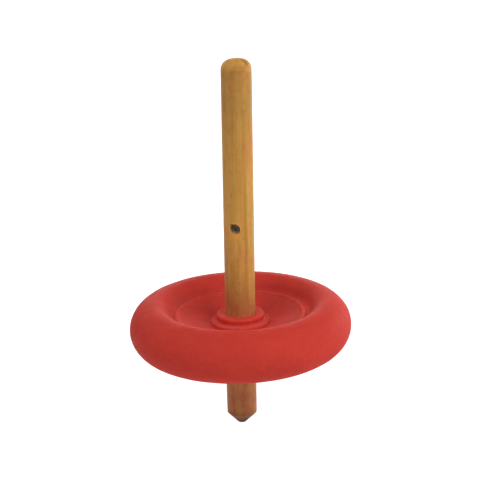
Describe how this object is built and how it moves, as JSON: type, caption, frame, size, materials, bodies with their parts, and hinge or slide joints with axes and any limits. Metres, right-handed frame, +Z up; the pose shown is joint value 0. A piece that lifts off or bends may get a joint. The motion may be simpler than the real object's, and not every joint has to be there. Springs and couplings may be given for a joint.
{
  "type": "spinning top",
  "caption": "Spinning top: a round wooden shaft with a blunt pointed tip and a cross hole, glued through a turned wooden flywheel with a fat round rim and a dished top.",
  "frame": {"origin": "centre of the small flat at the shaft's tip, which the top spins on", "axes": "+Z runs up the shaft from the tip to its rounded top. The cross hole's near mouth faces -Y, turned 15 degrees towards -X. The wheel and shaft are round, so X and Y are otherwise free."},
  "size_m": [0.0936, 0.0936, 0.1588],
  "materials": {
    "varnished_wood": "clear varnish over straight-grained hardwood dowel, satin",
    "painted_wood": "red paint over turned wood, matt to soft satin"
  },
  "bodies": {
    "root": {"shaft": "varnished_wood", "flywheel": "painted_wood"}
  },
  "joints": []
}
